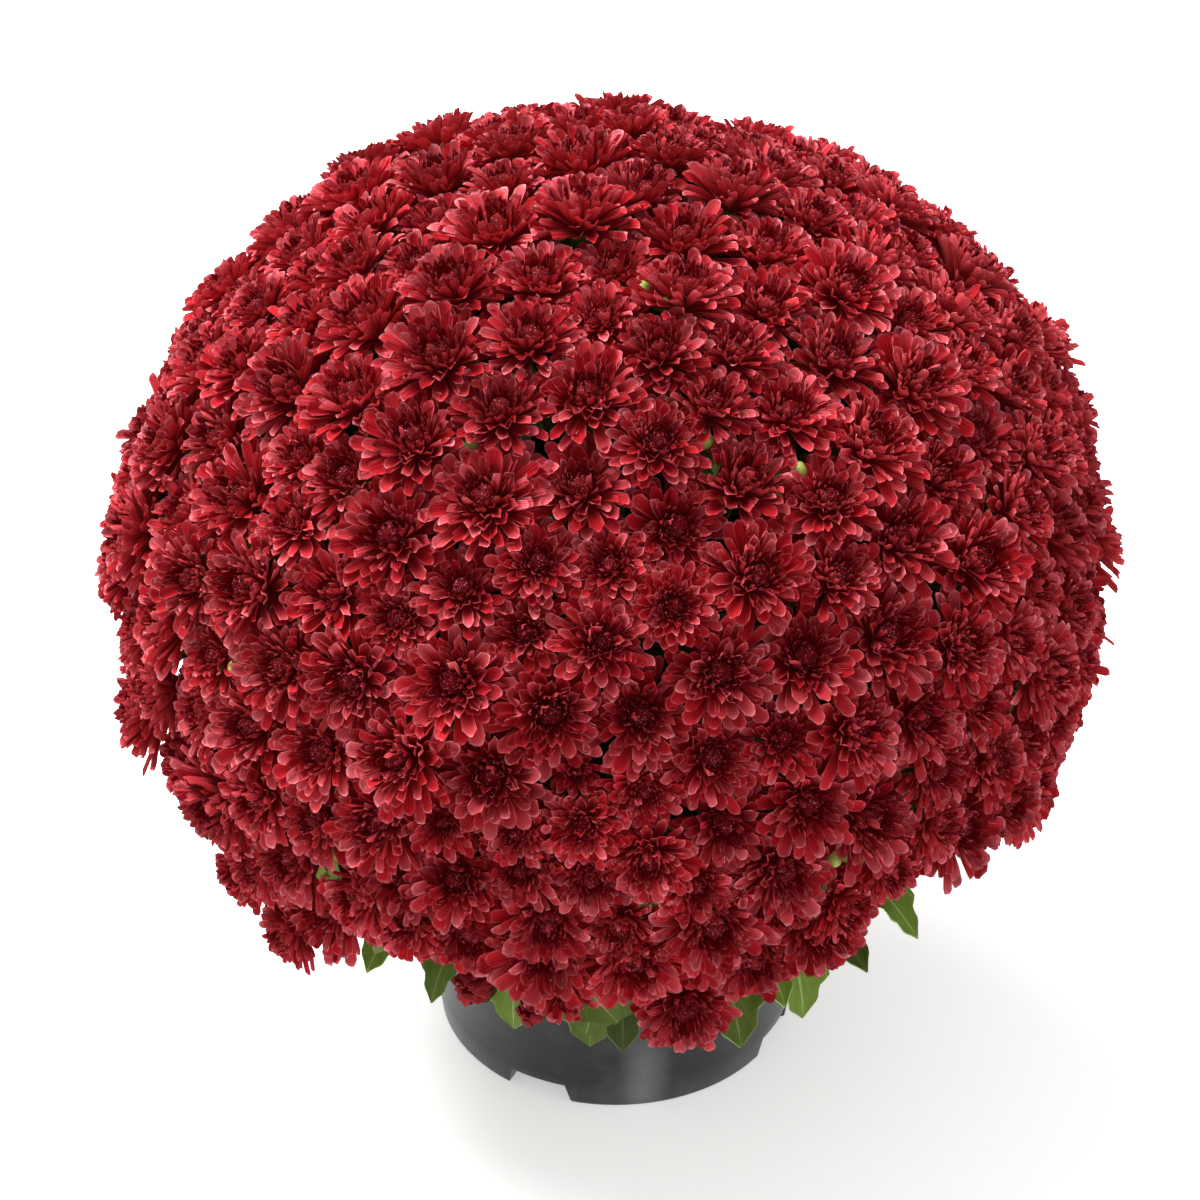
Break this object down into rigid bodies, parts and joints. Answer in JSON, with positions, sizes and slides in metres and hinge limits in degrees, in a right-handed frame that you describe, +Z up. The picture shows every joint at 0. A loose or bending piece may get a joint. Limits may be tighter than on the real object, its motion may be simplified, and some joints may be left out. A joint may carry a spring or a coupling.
{
  "type": "pot chrysanthemum",
  "caption": "Ball-shaped pot chrysanthemum with dense double crimson blooms on leafy stems, standing in a low round black plastic pot.",
  "frame": {"origin": "centre of the pot's flat base, on the surface that it stands on", "axes": "+Z up along the pot's axis, -Y towards the viewer of the picture, +X to their right"},
  "size_m": [0.4711, 0.4745, 0.4714],
  "materials": {
    "black_plastic": "satin black recycled plastic with a soft grey sheen and light scuffs",
    "potting_soil": "dark crumbly peat potting mix",
    "leaf_green": "matt, finely veined mid green, paler underneath",
    "bud_red": "matt dark red petal tips",
    "petal_crimson": "soft velvety crimson, lighter at the rims and maroon towards the heart"
  },
  "bodies": {
    "root": {"pot": "black_plastic", "potting_soil": "potting_soil", "leafy_stem_1": "leaf_green", "leafy_stem_2": "leaf_green", "leafy_stem_3": "leaf_green", "leafy_stem_4": "leaf_green", "leafy_stem_5": "leaf_green", "leafy_stem_6": "leaf_green", "bud_1": "bud_red", "bud_2": "bud_red", "bud_3": "bud_red", "bud_4": "bud_red", "spray_01": "petal_crimson", "spray_02": "petal_crimson", "spray_03": "petal_crimson", "spray_04": "petal_crimson", "spray_05": "petal_crimson", "spray_06": "petal_crimson", "spray_07": "petal_crimson", "spray_08": "petal_crimson", "spray_09": "petal_crimson", "spray_10": "petal_crimson", "spray_11": "petal_crimson", "spray_12": "petal_crimson", "spray_13": "petal_crimson", "spray_14": "petal_crimson", "spray_15": "petal_crimson", "spray_16": "petal_crimson", "spray_17": "petal_crimson", "spray_18": "petal_crimson", "spray_19": "petal_crimson", "spray_20": "petal_crimson", "spray_21": "petal_crimson", "spray_22": "petal_crimson", "spray_23": "petal_crimson", "spray_24": "petal_crimson", "spray_25": "petal_crimson", "spray_26": "petal_crimson", "spray_27": "petal_crimson", "spray_28": "petal_crimson", "spray_29": "petal_crimson", "spray_30": "petal_crimson", "spray_31": "petal_crimson", "spray_32": "petal_crimson", "spray_33": "petal_crimson", "spray_34": "petal_crimson", "spray_35": "petal_crimson", "spray_36": "petal_crimson", "spray_37": "petal_crimson", "spray_38": "petal_crimson", "spray_39": "petal_crimson", "spray_40": "petal_crimson", "spray_41": "petal_crimson", "spray_42": "petal_crimson", "spray_43": "petal_crimson", "spray_44": "petal_crimson", "spray_45": "petal_crimson", "spray_46": "petal_crimson", "spray_47": "petal_crimson", "spray_48": "petal_crimson"}
  },
  "joints": []
}
